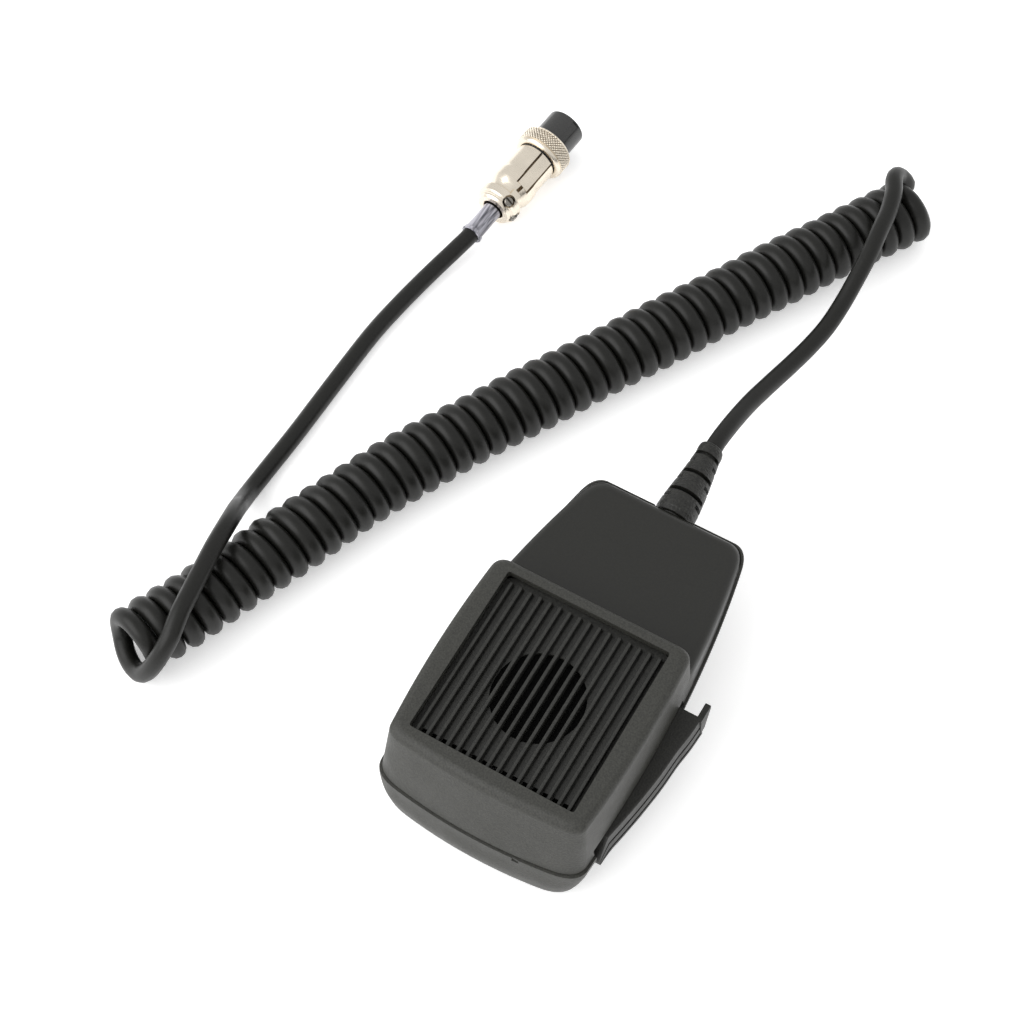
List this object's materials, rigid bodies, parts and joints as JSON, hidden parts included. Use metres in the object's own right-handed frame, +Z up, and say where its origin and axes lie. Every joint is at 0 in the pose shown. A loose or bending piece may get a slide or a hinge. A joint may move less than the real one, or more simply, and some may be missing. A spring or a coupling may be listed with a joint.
{
  "type": "hand microphone",
  "caption": "Hand microphone in two shells with a slotted grille, a sprung push-to-talk bar, a hang-up button, and a curly cord ending in a round plug.",
  "frame": {"origin": "on the table under the middle of the handset's box, cord and plug left out", "axes": "+X towards the push-to-talk bar, +Y towards the cord outlet, +Z up out of the grille; the handset is tipped 5.17 degrees about X by its hang-up button"},
  "size_m": [0.1389, 0.2374, 0.0363],
  "materials": {
    "case": "very dark warm grey ABS with a fine moulded texture",
    "grille": "near-black ABS, finely grained",
    "felt": "black felt",
    "rubber": "black moulded rubber",
    "cord": "satin black cord jacket",
    "nickel": "warm nickel plating",
    "steel": "zinc-plated steel",
    "brass": "turned brass",
    "board": "green circuit board",
    "bakelite": "glossy black moulding",
    "sleeve": "clear grey heat-shrink sleeve",
    "wire_red": "red",
    "wire_blue": "blue",
    "wire_yellow": "yellow",
    "wire_white": "white"
  },
  "bodies": {
    "handset": {"front_shell": "case", "rear_shell": "case", "hang_button": "case", "grille_insert": "grille", "switch_body": "grille", "wind_screen": "felt", "cartridge_front_plate": "steel", "cartridge_can": "steel", "cartridge_gasket": "rubber", "cartridge_strap": "steel", "ptt_pivot_pin": "steel", "ptt_spring": "steel", "circuit_board": "board", "board_capacitor": "steel", "cartridge_lead_1": "wire_red", "cartridge_lead_2": "wire_blue", "strain_relief": "rubber", "cord_jacket_end": "cord", "conductor_1": "wire_red", "conductor_2": "wire_blue", "conductor_3": "wire_yellow", "conductor_4": "wire_white", "cord_clamp": "steel", "cord_lead": "cord", "cord_coil": "cord", "cord_tail": "cord", "plug_insert": "bakelite", "plug_body": "nickel", "plug_collar": "nickel", "plug_sleeve": "sleeve", "strap_screw_1": "steel", "strap_screw_2": "steel", "hang_button_screw": "steel", "case_screw_1": "steel", "case_screw_2": "steel", "case_screw_3": "steel", "case_screw_4": "steel", "board_screw_1": "steel", "board_screw_2": "steel", "clamp_screw_1": "steel", "clamp_screw_2": "steel", "plug_screw_1": "steel", "plug_screw_2": "steel", "plug_contact_1": "brass", "plug_contact_2": "brass", "plug_contact_3": "brass", "plug_contact_4": "brass"},
    "push_to_talk": {"ptt_bar": "case"},
    "plunger": {"switch_plunger": "wire_red"},
    "coupling_ring": {"plug_ring": "nickel"}
  },
  "joints": [
    {"name": "ptt_press", "type": "hinge", "parent": "handset", "child": "push_to_talk", "pos_m": [0.02096, -0.04374, 0.01308], "axis": [0, -0.0901, 0.9959], "range_deg": [0, 4], "stiffness_Nm_per_rad": 0.3, "springref_deg": -5.73, "deforming": ["ptt_spring"]},
    {"name": "switch_travel", "type": "slide", "parent": "handset", "child": "plunger", "axis": [-1, 0, 0], "range_m": [0, 0.0018]},
    {"name": "ring_turn", "type": "hinge", "parent": "handset", "child": "coupling_ring", "pos_m": [-0.09431, 0.13184, 0.00789], "axis": [0.0939, 0.9931, 0.0696], "continuous": true}
  ],
  "couplings": [
    {"joint": "switch_travel", "follows": "ptt_press", "m_per_rad": 0.023}
  ]
}
